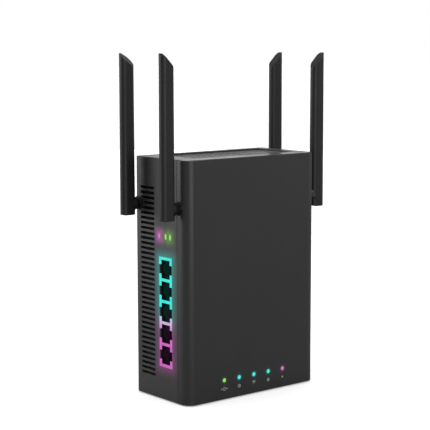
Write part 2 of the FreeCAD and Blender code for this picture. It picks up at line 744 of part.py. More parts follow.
def make_switches():
    """Right-angle push switches behind the two buttons, each with its short plunger."""
    shapes = []
    reach = SIDE_X - WALL - BUTTON_FLANGE_THICK - BUTTON_TRAVEL - SWITCH_GAP
    body_x = (reach - PLUNGER_LENGTH - SWITCH_SIZE, reach - PLUNGER_LENGTH)
    half = SWITCH_SIZE / 2
    for _, z, _ in BUTTONS:
        body = box(body_x, (CONTROL_Y - half, BOARD_Y), (z - half, z + half))
        plunger = rod_across(PLUNGER_RADIUS, (body_x[1] - 0.5, reach), CONTROL_Y, z)
        shapes.append(fused([body, plunger]))
    return Part.makeCompound(shapes)


def make_button(z, radius):
    """Round button cap with a flange behind the case wall."""
    inner = SIDE_X - WALL
    cap = rod_across(radius, (inner - BUTTON_FLANGE_THICK, SIDE_X + BUTTON_STAND), CONTROL_Y, z)
    face = [e for e in cap.Edges if e.BoundBox.XMin > SIDE_X + BUTTON_STAND - 0.01]
    cap = cap.makeFillet(BUTTON_ROUND, face)
    flange_x = (inner - BUTTON_FLANGE_THICK, inner - 0.1)
    return fused([cap, rod_across(radius + BUTTON_FLANGE, flange_x, CONTROL_Y, z)])


def make_bushing():
    """Friction bushing for one antenna neck."""
    bore = NECK_RADIUS + NECK_RUNNING_CLEARANCE
    barrel = rod_across(BUSHING_RADIUS, (BUSHING_END, 0), 0, 0)
    flange = rod_across(BUSHING_FLANGE_RADIUS, (0, BUSHING_FLANGE), 0, 0)
    edge = [e for e in flange.Edges if e.BoundBox.XMin > BUSHING_FLANGE - 0.01]
    flange = flange.makeFillet(BUSHING_ROUND, edge)
    return fused([barrel, flange]).cut(rod_across(bore, (BUSHING_END - 1, BUSHING_FLANGE + 1), 0, 0))


def blade_bar():
    """Long bar with rounded long edges that the antenna is cut from; it widens slightly downwards."""
    inner = BLADE_CENTRE - BLADE_WIDTH / 2
    outer = BLADE_CENTRE + BLADE_WIDTH / 2
    half = BLADE_DEPTH / 2
    low = -BLADE_BELOW - 1
    high = BLADE_ABOVE + 1
    points = [
        V(inner - BLADE_FLARE, -half, low),
        V(outer + BLADE_FLARE, -half, low),
        V(outer, -half, high),
        V(inner, -half, high),
    ]
    bar = Part.Face(Part.makePolygon(points + points[:1])).extrude(V(0, BLADE_DEPTH, 0))
    long_edges = [e for e in bar.Edges if e.BoundBox.ZLength > high - low - 1]
    return bar.makeFillet(BLADE_ROUND, long_edges)


def heel_block():
    """Block whose rounded lower corners shape the antenna's foot."""
    inner = BLADE_CENTRE - BLADE_WIDTH / 2 - BLADE_FLARE
    outer = BLADE_CENTRE + BLADE_WIDTH / 2 + BLADE_FLARE
    y = -BLADE_DEPTH
    corners = [
        (V(inner, y, -BLADE_BELOW), HEEL_ROUND_INNER),
        (V(outer, y, -BLADE_BELOW), HEEL_ROUND_OUTER),
        (V(outer, y, BLADE_ABOVE), TIP_ROUND),
        (V(inner, y, BLADE_ABOVE), TIP_ROUND),
    ]
    return Part.Face(rounded_wire(corners)).extrude(V(0, 2 * BLADE_DEPTH, 0))


def tip_block(turn):
    """Block with a slanted top, rounded into its low side and turned about the antenna's long axis."""
    flat = BLADE_WIDTH / 2 - BLADE_ROUND
    half = flat * math.cos(math.radians(turn)) + BLADE_ROUND
    drop = 2 * half * math.tan(math.radians(TIP_SLOPE))
    side = BLADE_FLARE
    low = -BLADE_BELOW - 1
    y = -BLADE_WIDTH
    corners = [
        (V(BLADE_CENTRE - half - side, y, low), TIP_ROUND),
        (V(BLADE_CENTRE + half + side, y, low), TIP_ROUND),
        (V(BLADE_CENTRE + half, y, BLADE_ABOVE), TIP_ROUND),
        (V(BLADE_CENTRE - half, y, BLADE_ABOVE - drop), SHOULDER_ROUND),
    ]
    block = Part.Face(rounded_wire(corners)).extrude(V(0, 2 * BLADE_WIDTH, 0))
    return block.rotate(V(BLADE_CENTRE, 0, 0), V(0, 0, 1), turn)


def cover_block():
    """The cover plate in the antenna's rear face."""
    x = (BLADE_CENTRE - COVER_WIDTH / 2, BLADE_CENTRE + COVER_WIDTH / 2)
    back = BLADE_DEPTH / 2
    return box(x, (back - COVER_THICK, back), COVER_Z).common(blade_bar())


def make_antenna_shell(turn):
    """Antenna moulding: blade, hollow for the element, and the hollow neck that turns in the bushing."""
    blade = blade_bar().common(heel_block()).common(tip_block(turn))
    inner = BLADE_CENTRE - BLADE_WIDTH / 2
    neck = rod_across(NECK_RADIUS, (NECK_END, inner + 2), 0, 0)
    flare_start = V(inner - FLARE_LENGTH, 0, 0)
    flare = Part.makeCone(NECK_RADIUS, FLARE_RADIUS, FLARE_LENGTH, flare_start, V(1, 0, 0))
    solid = fused([blade, neck, flare])
    half = CAVITY_WIDTH / 2
    hollow = box((BLADE_CENTRE - half, BLADE_CENTRE + half), (-half, CAVITY_BACK), CAVITY_Z)
    bore = rod_across(NECK_BORE, (NECK_END - 1, BLADE_CENTRE), 0, 0)
    clip_x = (BUSHING_END - CLIP_GAP - CLIP_THICK, BUSHING_END - CLIP_GAP)
    groove = ring(NECK_RADIUS + 1, GROOVE_RADIUS, (clip_x[0], 0, 0), (clip_x[1], 0, 0))
    return solid.cut(Part.makeCompound([hollow, cover_block(), groove])).cut(bore)


def make_clip():
    """Retaining clip in the neck's groove, open at one side."""
    clip_x = (BUSHING_END - CLIP_GAP - CLIP_THICK, BUSHING_END - CLIP_GAP)
    clip = ring(CLIP_RADIUS, GROOVE_RADIUS, (clip_x[0], 0, 0), (clip_x[1], 0, 0))
    mouth = (-CLIP_MOUTH / 2, CLIP_MOUTH / 2)
    return clip.cut(box((clip_x[0] - 1, clip_x[1] + 1), mouth, (-CLIP_RADIUS - 1, 0)))


def make_element():
    """Printed antenna element: a strip with stepped conductor pads, held between the hollow's walls."""
    half = CAVITY_WIDTH / 2
    x = (BLADE_CENTRE - half, BLADE_CENTRE + half)
    back = ELEMENT_THICK / 2
    shapes = [box(x, (-back, back), ELEMENT_Z)]
    for span in ELEMENT_PADS:
        pad_x = (x[0] + ELEMENT_PAD_INSET, x[1] - ELEMENT_PAD_INSET)
        shapes.append(box(pad_x, (back, back + ELEMENT_PAD_THICK), span))
    return fused(shapes)


def lead_tube(points):
    """Round tube along straight runs joined by tangent arcs."""
    points = [V(*p) for p in points]
    edges = []
    last = points[0]
    for i in range(1, len(points) - 1):
        corner = points[i]
        before = points[i - 1].sub(corner).normalize()
        after = points[i + 1].sub(corner).normalize()
        half = before.getAngle(after) / 2
        reach = LEAD_BEND / math.tan(half)
        start = corner.add(V(before).multiply(reach))
        end = corner.add(V(after).multiply(reach))
        middle = V(before).add(after).normalize()
        centre = corner.add(middle.multiply(LEAD_BEND / math.sin(half)))
        apex = corner.sub(centre).normalize().multiply(LEAD_BEND).add(centre)
        edges.append(Part.makeLine(last, start))
        edges.append(Part.Arc(start, apex, end).toShape())
        last = end
    edges.append(Part.makeLine(last, points[-1]))
    path = Part.Wire(edges)
    direction = points[1].sub(points[0])
    section = Part.Wire([Part.makeCircle(LEAD_RADIUS, points[0], direction)])
    return path.makePipeShell([section], True, False)


def lead_socket_y(y):
    """Y span of a lead's socket: on the board's front for a front antenna, on its back for a rear one."""
    if y < 0:
        return (BOARD_Y - LEAD_SOCKET_HEIGHT, BOARD_Y)
    return (BOARD_BACK, BOARD_BACK + LEAD_SOCKET_HEIGHT)


def make_lead(side, y):
    """Coaxial lead from inside one neck to its socket on the board."""
    socket_y = lead_socket_y(y)
    face = socket_y[0] if y < 0 else socket_y[1]
    away = -1 if y < 0 else 1
    points = [
        (SIDE_X + LEAD_START, y, HINGE_Z),
        (SIDE_X + LEAD_STRAIGHT_END, y, HINGE_Z),
        (LEAD_SOCKET_X, face + away * LEAD_DROP, LEAD_SOCKET_Z),
        (LEAD_SOCKET_X, face, LEAD_SOCKET_Z),
    ]
    tube = lead_tube(points)
    return tube if side > 0 else mirrored(tube)


def make_lead_sockets():
    """Four small round sockets on the board, one for each lead."""
    shapes = []
    for _, side, y in hinges():
        x = side * LEAD_SOCKET_X
        low, high = lead_socket_y(y)
        shapes.append(rod(LEAD_SOCKET_RADIUS, (x, low, LEAD_SOCKET_Z), (x, high, LEAD_SOCKET_Z)))
    return Part.makeCompound(shapes)


def add_case():
    """Case shells, grille, bottom plate, feet and screws."""
    shell = case_shell()
    PARTS["front_cover"] = make_front_cover(shell)
    PARTS["rear_housing"] = make_rear_housing(shell)
    PARTS["top_grille"] = make_top_grille()
    PARTS["bottom_plate"] = make_bottom_plate()
    PARTS["case_screws"] = make_case_screws()
    names = ("front_left", "front_right", "rear_left", "rear_right")
    for name, (x, y) in zip(names, foot_places()):
        PARTS[f"rubber_foot_{name}"] = make_foot(x, y)


def add_sockets():
    """Network sockets and the light guide around them."""
    PARTS["port_light_guide"] = make_light_guide()
    PARTS["lan_jack_block"] = make_jack_block()
    PARTS["lan_jack_shield"] = make_jack_shield()
    PARTS["lan_jack_contacts"] = make_jack_contacts()
    PARTS["lan_transformers"] = make_transformers()


def add_lights():
    """Front and side light pipes."""
    for i, x in enumerate(front_light_places()):
        PARTS[f"front_light_{i + 1}"] = make_front_lens(x)
    for i, y in enumerate(side_light_places()):
        PARTS[f"side_light_{i + 1}"] = make_side_lens(y)
    PARTS["front_light_board"] = make_front_light_board()


def add_electronics():
    """Circuit board and everything that stands on it."""
    PARTS["main_board"] = make_main_board()
    PARTS["board_screws"] = make_board_screws()
    PARTS["processor"] = square_on_board(CHIP_CENTRE, CHIP_SIZE, (0, CHIP_THICK))
    PARTS["thermal_pad"] = square_on_board(CHIP_CENTRE, CHIP_SIZE, (CHIP_THICK, CHIP_THICK + PAD_THICK))
    PARTS["heat_sink"] = make_heat_sink()
    PARTS["radio_shield_cans"] = make_shield_cans()
    PARTS["power_capacitors"] = make_capacitors()
    PARTS["power_inlet"] = make_inlet()
    PARTS["power_inlet_pin"] = make_inlet_pin()
    PARTS["push_switches"] = make_switches()
    PARTS["lead_sockets"] = make_lead_sockets()
    for name, z, radius in BUTTONS:
        PARTS[name] = make_button(z, radius)


def add_antennas():
    """Four antennas with their bushings, clips and leads."""
    pieces = {
        "bushing": make_bushing(),
        "cover": cover_block(),
        "element": make_element(),
        "clip": make_clip(),
    }
    for name, side, y in hinges():
        PARTS[f"antenna_{name}_shell"] = placed(make_antenna_shell(TIP_TURNS[name]), side, y)
        for piece, shape in pieces.items():
            PARTS[f"antenna_{name}_{piece}"] = placed(shape, side, y)
        PARTS[f"antenna_{name}_lead"] = make_lead(side, y)


def main():
    add_case()
    add_sockets()
    add_lights()
    add_electronics()
    add_antennas()
    os.makedirs("parts", exist_ok=True)
    for name, shape in PARTS.items():
        shape.exportStep(f"parts/{name}.step")
        kind = "valid" if shape.isValid() else "INVALID"
        print(f"{name}: {len(shape.Solids)} solid(s), {shape.Volume / 1000:.3f} cm3, {kind}")
    print(f"{len(PARTS)} nodes")


main()
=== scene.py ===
"""Looks of an upright wifi range extender, built around its CAD frame.

Metres, in the frame's own axes: +X right, +Y rear, +Z up, front face towards -Y.
"""
import math
import bmesh
import bpy
from mathutils import Matrix, Vector


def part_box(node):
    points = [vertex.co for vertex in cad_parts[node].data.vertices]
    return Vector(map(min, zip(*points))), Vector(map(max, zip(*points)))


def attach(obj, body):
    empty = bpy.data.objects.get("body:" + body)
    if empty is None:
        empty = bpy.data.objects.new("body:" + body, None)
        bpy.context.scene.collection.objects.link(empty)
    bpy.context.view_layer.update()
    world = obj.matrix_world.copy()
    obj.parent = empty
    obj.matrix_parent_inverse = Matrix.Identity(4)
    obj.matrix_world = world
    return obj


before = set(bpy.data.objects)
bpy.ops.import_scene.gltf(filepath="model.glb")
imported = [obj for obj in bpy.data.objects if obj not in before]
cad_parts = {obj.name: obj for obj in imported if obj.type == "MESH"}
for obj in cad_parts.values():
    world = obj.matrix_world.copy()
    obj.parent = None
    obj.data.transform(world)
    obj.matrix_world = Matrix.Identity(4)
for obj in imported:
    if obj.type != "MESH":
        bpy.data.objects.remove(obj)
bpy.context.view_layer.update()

MM = 0.001

# Camera: where it stands and how it is turned, in degrees
CAMERA_PLACE = Vector((-0.5559, -0.6684, 0.2273))
CAMERA_TURN = 39.244
CAMERA_DOWN = 7.285
CAMERA_ROLL = -0.1
CAMERA_LENS = 110.5

# Colours of the lights, linear
CYAN = (0.015, 0.92, 0.8)
LAVENDER = (0.62, 0.42, 0.72)
MAGENTA = (0.68, 0.12, 0.56)
GREEN = (0.3, 0.8, 0.05)
VIOLET_PINK = (0.68, 0.12, 0.58)

GUIDE_GLOW = 0.8
LENS_GLOW = 0.85

# Painted glow: light that spills from each lamp onto the plastic around it, painted into that plastic as
# emission; its strength and how far it reaches
GUIDE_SPILL = 0.2
GUIDE_REACH = 10.0 * MM
SIDE_SPILLS = {"side_light_1": 0.36, "side_light_2": 0.1, "side_light_3": 0.16}
SIDE_REACH = 6.0 * MM
FRONT_SPILL = 0.2
FRONT_SPILLS = {"front_light_1": 0.12, "front_light_5": 0.3}
FRONT_REACH = 3.8 * MM

# Softness of the moulded edges
EDGE_ROUND = 0.25 * MM
WEAR_ROUND = 0.35 * MM

# Stage: how bright the floor and the surroundings look in the picture, and how much light they give
FLOOR_SHOWN = 0.7
FLOOR_GLOW = 0.35
FLOOR_GIVEN = 0.26
WORLD_SHOWN = 1.0
WORLD_GIVEN = 0.25

# Studio lights: angle in degrees from the left side towards the front, distance, height, size and watts
STUDIO_LIGHTS = (
    ("left_light", -45.0, 1.3, 0.3, (0.9, 1.0), 7.2),
    ("front_light", 74.0, 1.2, 0.4, (0.7, 0.9), 5.5),
    ("right_light", 145.0, 2.2, 0.3, (1.6, 1.2), 4.0),
    ("back_light", 230.7, 2.0, 0.4, (2.0, 0.9), 8.0),
)
LIGHT_TARGET = Vector((0.0, 0.0, 0.1))
SUN_STRENGTH = 3.0
SUN_SPREAD = 60.0

# Places read from the frame
CASE_LOW = Vector((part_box("rear_housing")[0].x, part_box("front_cover")[0].y, 0.0))
CASE_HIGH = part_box("rear_housing")[1]
GUIDE_LOW, GUIDE_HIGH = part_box("port_light_guide")
LENSES = [n for n in sorted(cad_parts) if n[:-1] in ("front_light_", "side_light_")]
LENS_COLOURS = {
    "front_light_1": GREEN,
    "front_light_5": MAGENTA,
    "side_light_1": VIOLET_PINK,
    "side_light_2": GREEN,
    "side_light_3": GREEN,
}


def middle(node):
    """Centre of a node's box."""
    low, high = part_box(node)
    return (low + high) / 2


class Look:
    """A material being made: each call adds a node and returns its output socket."""

    def __init__(self, name):
        self.material = bpy.data.materials.new(name)
        self.material.use_nodes = True
        self.tree = self.material.node_tree
        self.shader = self.tree.nodes["Principled BSDF"]

    def feed(self, socket, value):
        """Links a socket, or sets it to a constant."""
        if isinstance(value, bpy.types.NodeSocket):
            self.tree.links.new(value, socket)
        else:
            socket.default_value = value

    def add(self, kind, inputs=(), **settings):
        """New node with its settings and its inputs, given in order."""
        node = self.tree.nodes.new(kind)
        for key, value in settings.items():
            setattr(node, key, value)
        for key, value in dict(inputs).items():
            self.feed(node.inputs[key], value)
        return node

    def place(self):
        """Position on the object, in the frame's metres."""
        return self.add("ShaderNodeTexCoord").outputs["Object"]

    def axis(self, name):
        """One component of the position."""
        return self.add("ShaderNodeSeparateXYZ", {"Vector": self.place()}).outputs[name]

    def sum(self, operation, first, second=0.0, clamp=False):
        """Arithmetic on one or two values."""
        node = self.add("ShaderNodeMath", {0: first, 1: second}, operation=operation, use_clamp=clamp)
        return node.outputs[0]

    def distance(self, point):
        """Distance from a fixed point."""
        node = self.add("ShaderNodeVectorMath", {0: self.place(), 1: point}, operation="DISTANCE")
        return node.outputs["Value"]

    def noise(self, scale, detail=3.0, roughness=0.5, stretch=(1, 1, 1)):
        """Smooth noise; scale is its waves in a metre."""
        mapping = self.add("ShaderNodeMapping", {"Vector": self.place(), "Scale": stretch})
        inputs = {"Vector": mapping.outputs[0], "Scale": scale, "Detail": detail, "Roughness": roughness}
        return self.add("ShaderNodeTexNoise", inputs).outputs[0]

    def cells(self, scale):
        """Distance to the nearest of many scattered points, for moulded grain."""
        node = self.add("ShaderNodeTexVoronoi", {"Vector": self.place(), "Scale": scale})
        return node.outputs["Distance"]

    def spread(self, value, low, high, to_low=0.0, to_high=1.0):
        """Maps a range of values to another, and stops at its ends."""
        inputs = {"Value": value, 1: low, 2: high, 3: to_low, 4: to_high}
        return self.add("ShaderNodeMapRange", inputs, clamp=True).outputs[0]

    def blend(self, factor, first, second, mode="MIX"):
        """Mixes two colours."""
        node = self.add("ShaderNodeMix", data_type="RGBA", blend_type=mode)
        self.feed(node.inputs[0], factor)
        for socket, value in ((node.inputs[6], first), (node.inputs[7], second)):
            self.feed(socket, (*value, 1.0) if isinstance(value, tuple) else value)
        return node.outputs[2]

    def edge(self, radius, gain):
        """1 along sharp edges and 0 on flat faces."""
        rounded = self.add("ShaderNodeBevel", {"Radius": radius}, samples=4).outputs[0]
        flat = self.add("ShaderNodeNewGeometry").outputs["Normal"]
        dot = self.add("ShaderNodeVectorMath", {0: rounded, 1: flat}, operation="DOT_PRODUCT")
        turned = self.sum("SUBTRACT", 1.0, dot.outputs["Value"])
        return self.sum("MULTIPLY", turned, gain, clamp=True)

    def relief(self, height, depth, normal=None):
        """Feeds a bump of this depth in metres into the shader's normal."""
        bump = self.add("ShaderNodeBump", {"Height": height, "Strength": 1.0, "Distance": depth})
        if normal is not None:
            self.feed(bump.inputs["Normal"], normal)
        self.feed(self.shader.inputs["Normal"], bump.outputs[0])

    def rounded_normal(self, radius):
        """Normal that turns smoothly over sharp edges."""
        return self.add("ShaderNodeBevel", {"Radius": radius}, samples=6).outputs[0]

    def surface(self, **values):
        """Sets the shader's inputs; an underscore stands for a space."""
        for key, value in values.items():
            socket = self.shader.inputs[key.replace("_", " ")]
            self.feed(socket, (*value, 1.0) if isinstance(value, tuple) and len(value) == 3 else value)


def moulded(name, colour, roughness, specular=0.5, grain=900, depth=0.02 * MM, wear=0.35):
    """Moulded plastic: spark-eroded grain, slight colour drift, handling marks and paler worn edges."""
    look = Look(name)
    drift = look.noise(18, 4)
    tone = look.blend(drift, tuple(c * 0.88 for c in colour), tuple(c * 1.12 for c in colour))
    speck = look.spread(look.noise(2600, 2), 0.58, 0.75)
    tone = look.blend(look.sum("MULTIPLY", speck, 0.12), tone, tuple(min(1.0, c * 2.2) for c in colour))
    rub = look.spread(look.noise(220, 5), 0.42, 0.62)
    worn = look.sum("MULTIPLY", look.sum("MULTIPLY", look.edge(WEAR_ROUND, 3.5), rub), wear)
    tone = look.blend(worn, tone, tuple(min(1.0, c * 2.6 + 0.02) for c in colour))
    marks = look.spread(look.noise(60, 6, 0.65, (1, 1, 0.35)), 0.45, 0.7, -0.05, 0.07)
    look.surface(Base_Color=tone, Specular_IOR_Level=specular)
    look.surface(Roughness=look.sum("ADD", marks, roughness, clamp=True))
    grains = look.sum("ADD", look.cells(grain), look.sum("MULTIPLY", look.noise(grain * 0.6, 3), 0.6))
    look.relief(grains, depth, look.rounded_normal(EDGE_ROUND))
    return look


def box_distance(look, low, high, names=("Y", "Z")):
    """Distance in the plane of two axes to a rectangle; 0 inside it."""
    squares = []
    for name in names:
        index = "XYZ".index(name)
        value = look.axis(name)
        below = look.sum("SUBTRACT", low[index], value)
        above = look.sum("SUBTRACT", value, high[index])
        outside = look.sum("MAXIMUM", look.sum("MAXIMUM", below, above), 0.0)
        squares.append(look.sum("MULTIPLY", outside, outside))
    return look.sum("SQRT", look.sum("ADD", squares[0], squares[1]))


def guide_colour(look):
    """Colour along the light guide: magenta below, lavender, cyan above."""
    low, high = GUIDE_LOW.z, GUIDE_HIGH.z
    ramp = look.add("ShaderNodeValToRGB", {"Fac": look.spread(look.axis("Z"), low, high)})
    stops = ((0.0, MAGENTA), (0.3, MAGENTA), (0.41, LAVENDER), (0.52, CYAN))
    elements = ramp.color_ramp.elements
    while len(elements) < len(stops):
        elements.new(0.5)
    for element, (position, colour) in zip(elements, stops):
        element.position = position
        element.color = (*colour, 1.0)
    return ramp.outputs[0]


def add_painted_halo(look, mask, colour, strength, glow):
    """Adds a soft coloured painted glow to the painted glow so far, if there is any."""
    scaled = look.blend(1.0, colour, (strength,) * 3, "MULTIPLY")
    part = look.add("ShaderNodeMix", data_type="RGBA", blend_type="MIX")
    look.feed(part.inputs[0], mask)
    part.inputs[6].default_value = (0, 0, 0, 1)
    look.feed(part.inputs[7], scaled)
    if glow is None:
        return part.outputs[2]
    return look.blend(1.0, glow, part.outputs[2], "ADD")


def falloff(look, distance, reach):
    """1 at the light, easing to 0 at this distance."""
    near = look.spread(distance, 0.0, reach, 1.0, 0.0)
    return look.sum("POWER", near, 2.2)


def painted_lens_halos(look, lights, names, face, glow):
    """Adds a soft painted glow on the plastic around each light, given as its core, node, strength and
    reach.

    The names are the two axes of the lights' own surface, and face is 1 on that surface.
    """
    for (low, high), node, power, reach in lights:
        near = falloff(look, box_distance(look, low, high, names), reach)
        mask = look.sum("MULTIPLY", near, face)
        glow = add_painted_halo(look, mask, LENS_COLOURS.get(node, CYAN), power, glow)
    return glow


def glow_on(look, glow):
    """Makes a glow the look's emission."""
    look.feed(look.shader.inputs["Emission Color"], glow)
    look.shader.inputs["Emission Strength"].default_value = 1.0


def painted_side_glow(look):
    """Painted glow: emission painted on the plastic around the light guide and the side lenses, standing in
    for their light falling on it.
    """
    face = look.sum("LESS_THAN", look.axis("X"), CASE_LOW.x + 0.5 * MM)
    inset = Vector((0, 2.0 * MM, 2.0 * MM))
    mask = falloff(look, box_distance(look, GUIDE_LOW + inset, GUIDE_HIGH - inset), GUIDE_REACH)
    glow = add_painted_halo(look, look.sum("MULTIPLY", mask, face), guide_colour(look), GUIDE_SPILL, None)
    lights = [(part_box(node), node, power, SIDE_REACH) for node, power in SIDE_SPILLS.items()]
    return painted_lens_halos(look, lights, ("Y", "Z"), face, glow)


def painted_front_glow(look, glow):
    """Adds a faint painted glow on the plastic around the front lenses."""
    # Painted glow: emission on the cover's front face, fading away from each lens
    face = look.sum("LESS_THAN", look.axis("Y"), CASE_LOW.y + 0.5 * MM)
    lights = []
    for node in LENSES:
        if node.startswith("front_light_"):
            power = FRONT_SPILLS.get(node, FRONT_SPILL)
            lights.append(((middle(node), middle(node)), node, power, FRONT_REACH))
    return painted_lens_halos(look, lights, ("X", "Z"), face, glow)


def guide_look():
    """Frosted light guide, lit from behind."""
    look = Look("light_guide_lit")
    colour = guide_colour(look)
    uneven = look.spread(look.noise(240, 3), 0.3, 0.7, 0.82, 1.15)
    grey = look.add("ShaderNodeCombineColor", {i: uneven for i in range(3)}).outputs[0]
    glow = look.blend(1.0, colour, grey, "MULTIPLY")
    front = look.spread(look.axis("X"), GUIDE_LOW.x + 0.1 * MM, GUIDE_LOW.x + 0.3 * MM, 1.0, 0.0)
    tint = look.blend(0.15, (0.01, 0.01, 0.01), colour)
    look.surface(Base_Color=look.blend(front, (0.01, 0.012, 0.014), tint), Roughness=0.32)
    face = look.sum("LESS_THAN", look.axis("X"), GUIDE_LOW.x + 0.15 * MM)
    look.surface(Emission_Color=glow, Emission_Strength=look.sum("MULTIPLY", face, GUIDE_GLOW))
    look.relief(look.noise(1500, 2), 0.01 * MM)
    return look.material


def lens_look(node, colour, strength):
    """Small lens, brightest at the middle of its outer face."""
    look = Look(node + "_lit")
    low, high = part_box(node)
    centre = (low + high) / 2
    outward = 0 if node.startswith("side_") else 1
    centre[outward] = low[outward]
    core = look.spread(look.distance(centre), 0.0, (high.z - low.z) / 2, 1.0, 0.0)
    pale = tuple(min(1.0, c + 0.12) for c in colour)
    tone = look.blend(core, tuple(c * 0.5 for c in colour), pale)
    dark = tuple(c * 0.12 for c in colour)
    base = look.blend(look.noise(800), dark, tuple(c * 1.5 for c in dark))
    look.surface(Base_Color=base, Roughness=0.25)
    look.surface(Emission_Color=tone, Emission_Strength=strength)
    look.relief(look.noise(1200, 2), 0.01 * MM)
    return look.material


def metal(name, colour, roughness, stretch=(1, 1, 30)):
    """Metal with a fine rolled or brushed direction."""
    look = Look(name)
    lines = look.noise(260, 4, 0.6, stretch)
    tone = look.blend(lines, tuple(c * 0.82 for c in colour), tuple(min(1.0, c * 1.1) for c in colour))
    look.surface(Base_Color=tone, Metallic=1.0)
    look.surface(Roughness=look.spread(lines, 0.3, 0.7, roughness - 0.08, roughness + 0.1))
    look.relief(lines, 0.006 * MM, look.rounded_normal(0.1 * MM))
    return look.material


def board_look():
    """Green solder mask with faint copper tracks below it."""
    look = Look("solder_mask")
    inputs = {"Vector": look.place(), "Scale": 320.0}
    tracks = look.add("ShaderNodeTexBrick", inputs, offset=0.35)
    tracks.inputs["Mortar Size"].default_value = 0.03
    web = look.spread(tracks.outputs["Fac"], 0.4, 0.6)
    tone = look.blend(look.noise(40), (0.012, 0.09, 0.035), (0.02, 0.13, 0.05))
    tone = look.blend(look.sum("MULTIPLY", web, 0.5), tone, (0.05, 0.24, 0.1))
    look.surface(Base_Color=tone, Roughness=0.35)
    look.relief(web, 0.02 * MM)
    return look.material


def rubber_look(name, colour):
    """Matt rubber with a dusty bloom."""
    look = Look(name)
    bloom = look.spread(look.noise(120, 6), 0.4, 0.75)
    tone = look.blend(bloom, colour, tuple(c * 1.8 + 0.01 for c in colour))
    look.surface(Base_Color=tone, Roughness=0.82)
    look.relief(look.noise(1400, 3), 0.03 * MM)
    return look.material


def assign(node, material):
    """Gives a CAD node one material."""
    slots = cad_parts[node].data.materials
    slots.clear()
    slots.append(material)


def paint_case():
    """Materials of the outer case."""
    cover = moulded("cover_plastic", (0.021, 0.021, 0.0215), 0.4)
    # Painted glow: the cover carries emission painted around the side lamps and the front lenses
    glow_on(cover, painted_front_glow(cover, painted_side_glow(cover)))
    assign("front_cover", cover.material)
    housing = moulded("housing_plastic", (0.03, 0.03, 0.031), 0.44)
    # Painted glow: the housing carries emission painted around the light guide and the side lenses
    glow_on(housing, painted_side_glow(housing))
    assign("rear_housing", housing.material)
    grille = moulded("grille_plastic", (0.061, 0.061, 0.063), 0.58, grain=700)
    assign("top_grille", grille.material)
    base = moulded("base_plastic", (0.02, 0.02, 0.021), 0.6, grain=600, depth=0.04 * MM)
    assign("bottom_plate", base.material)
    button = moulded("button_plastic", (0.035, 0.035, 0.037), 0.35, grain=1500, depth=0.006 * MM)
    assign("power_button", button.material)
    assign("wps_button", button.material)
    foot = rubber_look("foot_rubber", (0.012, 0.012, 0.012))
    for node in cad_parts:
        if node.startswith("rubber_foot"):
            assign(node, foot)


def paint_lights():
    """Materials of the light guide and the lenses."""
    assign("port_light_guide", guide_look())
    for node in LENSES:
        assign(node, lens_look(node, LENS_COLOURS.get(node, CYAN), LENS_GLOW))


def socket_plastic(name):
    """Glossy black plastic of the sockets and the inlet."""
    return moulded(name, (0.012, 0.012, 0.013), 0.3, grain=1600, depth=0.005 * MM)


def socket_look():
    """Plastic of the socket block, with a faint painted glow in the light guide's colours standing in for
    the guide's light falling on it.
    """
    look = socket_plastic("jack_plastic")
    # Painted glow: emission in the guide's colours, fading with depth behind the guide
    painted_guide_glow = look.spread(look.axis("X"), GUIDE_HIGH.x, GUIDE_HIGH.x + 8.0 * MM, 0.02, 0.003)
    look.surface(Emission_Color=guide_colour(look), Emission_Strength=painted_guide_glow)
    return look.material


def paint_electronics():
    """Materials of the sockets, the inlet and what is on the board."""
    assign("lan_jack_block", socket_look())
    black = socket_plastic("socket_plastic").material
    chip = moulded("component_plastic", (0.014, 0.014, 0.015), 0.45, grain=1200, depth=0.01 * MM)
    gold = metal("gold_plate", (0.83, 0.58, 0.2), 0.25)
    tin = metal("tin_plate", (0.6, 0.6, 0.6), 0.35)
    steel = metal("zinc_steel", (0.5, 0.5, 0.52), 0.32)
    aluminium = metal("satin_aluminium", (0.66, 0.67, 0.69), 0.38)
    board = board_look()
    looks = {
        black: ("power_inlet",),
        chip.material: ("processor", "lan_transformers", "push_switches"),
        gold: ("lan_jack_contacts", "power_inlet_pin", "lead_sockets"),
        tin: ("lan_jack_shield", "radio_shield_cans"),
        steel: ("case_screws", "board_screws"),
        aluminium: ("heat_sink", "power_capacitors"),
        board: ("main_board", "front_light_board"),
        rubber_look("thermal_rubber", (0.2, 0.21, 0.23)): ("thermal_pad",),
    }
    for material, nodes in looks.items():
        for node in nodes:
            assign(node, material)
    return steel, board


def antenna_look():
    """Satin plastic of the blades, darker on the neck: partly the neck's own black tone, partly painted
    shade where it meets the case.
    """
    colour = (0.012, 0.012, 0.0125)
    look = moulded("antenna_plastic", colour, 0.46, specular=0.36, grain=1100, depth=0.012 * MM)
    tone = look.shader.inputs["Base Color"].links[0].from_socket
    out = look.sum("ABSOLUTE", look.axis("X"))
    # Painted shade and the neck's own tone: the blade turns near black close to the case
    neck_tone_and_shade = look.spread(out, CASE_HIGH.x + 3.0 * MM, CASE_HIGH.x + 3.8 * MM, 1.0, 0.0)
    look.surface(Base_Color=look.blend(neck_tone_and_shade, tone, (0.003, 0.003, 0.0035)))
    return look.material


def paint_antennas(steel, board):
    """Materials of the antennas, their bushings and leads."""
    blade = antenna_look()
    black = (0.004, 0.004, 0.0045)
    bushing = moulded("bushing_plastic", black, 0.34, specular=0.25, grain=1600, depth=0.005 * MM, wear=0.1)
    endings = {
        "_shell": blade,
        "_cover": blade,
        "_bushing": bushing.material,
        "_lead": rubber_look("lead_jacket", (0.015, 0.015, 0.015)),
        "_clip": steel,
        "_element": board,
    }
    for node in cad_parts:
        for ending, material in endings.items():
            if node.startswith("antenna_") and node.endswith(ending):
                assign(node, material)


def new_piece(name, mesh_builder, body, material):
    """A new mesh piece that rides on a body."""
    mesh = bpy.data.meshes.new(name)
    build = bmesh.new()
    mesh_builder(build)
    bmesh.ops.recalc_face_normals(build, faces=build.faces)
    build.to_mesh(mesh)
    build.free()
    mesh.materials.append(material)
    piece = bpy.data.objects.new(name, mesh)
    bpy.context.scene.collection.objects.link(piece)
    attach(piece, body)
    return piece


